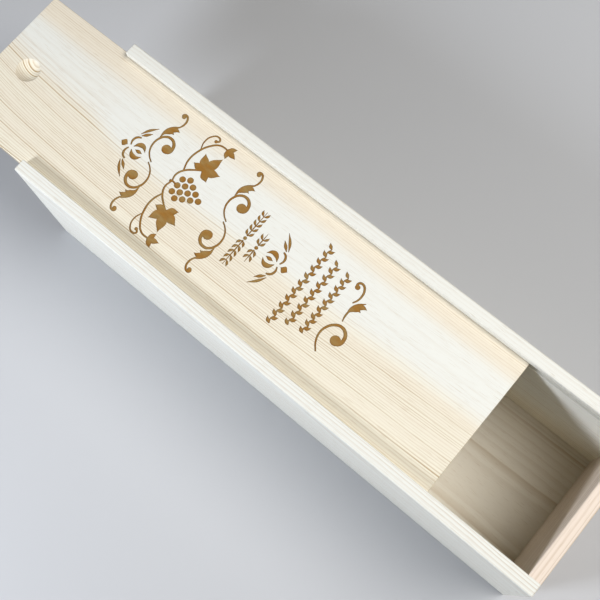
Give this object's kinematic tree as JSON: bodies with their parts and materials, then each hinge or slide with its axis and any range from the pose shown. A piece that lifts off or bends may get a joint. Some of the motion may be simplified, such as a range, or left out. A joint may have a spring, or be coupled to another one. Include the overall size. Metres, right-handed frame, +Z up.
{
  "type": "bottle box",
  "caption": "Rectangular pine bottle box with a flat lid that slides out along grooves below the rim, a round finger scoop and burnt scroll ornament on the lid.",
  "frame": {"origin": "centre of the underside, on the face that the box rests on", "axes": "+X along the length to the closed end, +Y to the rear side, +Z up"},
  "size_m": [0.416, 0.1, 0.1],
  "materials": {
    "pine_wall": "sanded bare pine",
    "pine_base": "sanded bare pine",
    "pine_lid": "sanded bare pine with burnt engraving",
    "brad_steel": "bright wire"
  },
  "bodies": {
    "carcass": {"front_side_panel": "pine_wall", "rear_side_panel": "pine_wall", "closed_end_panel": "pine_wall", "open_end_panel": "pine_wall", "base_panel": "pine_base", "corner_pins": "brad_steel", "base_pins": "brad_steel"},
    "lid": {"sliding_lid": "pine_lid"}
  },
  "joints": [
    {"name": "lid_slide", "type": "slide", "parent": "carcass", "child": "lid", "axis": [-1, 0, 0], "range_m": [-0.061, 0.29]}
  ]
}
